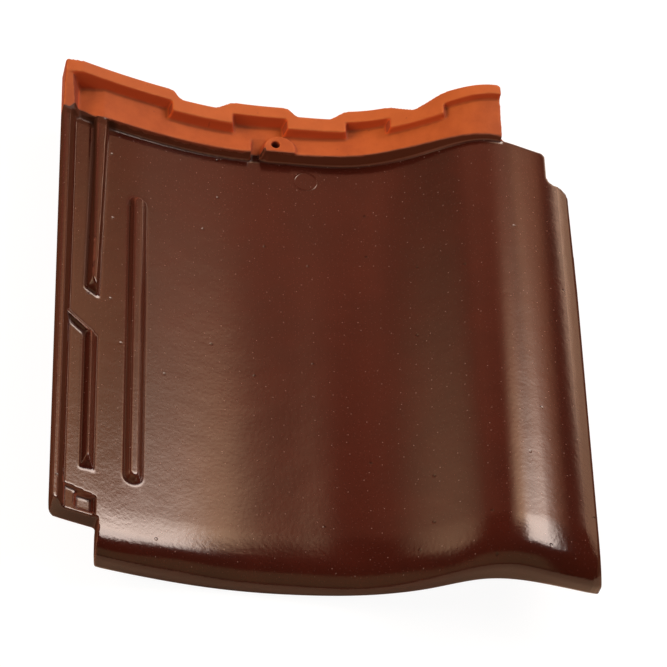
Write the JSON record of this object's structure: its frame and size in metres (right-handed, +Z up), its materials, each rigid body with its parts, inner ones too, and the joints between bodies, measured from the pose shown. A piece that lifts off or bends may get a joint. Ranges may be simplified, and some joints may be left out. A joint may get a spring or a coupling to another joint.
{
  "type": "roof tile",
  "caption": "Interlocking clay pantile with a shallow pan, a roll along one side, a ribbed water lock along the other and a stepped water stop across its head.",
  "frame": {"origin": "under the middle of the tile, on the level floor that its front lip and its two nibs rest on", "axes": "+X across the tile from the water lock to the roll, +Y up the roof from the nose to the head, +Z up out of the glazed face"},
  "size_m": [0.293, 0.316, 0.073],
  "materials": {
    "glazed_clay": "glossy"
  },
  "bodies": {
    "root": {"roof_tile": "glazed_clay"}
  },
  "joints": []
}
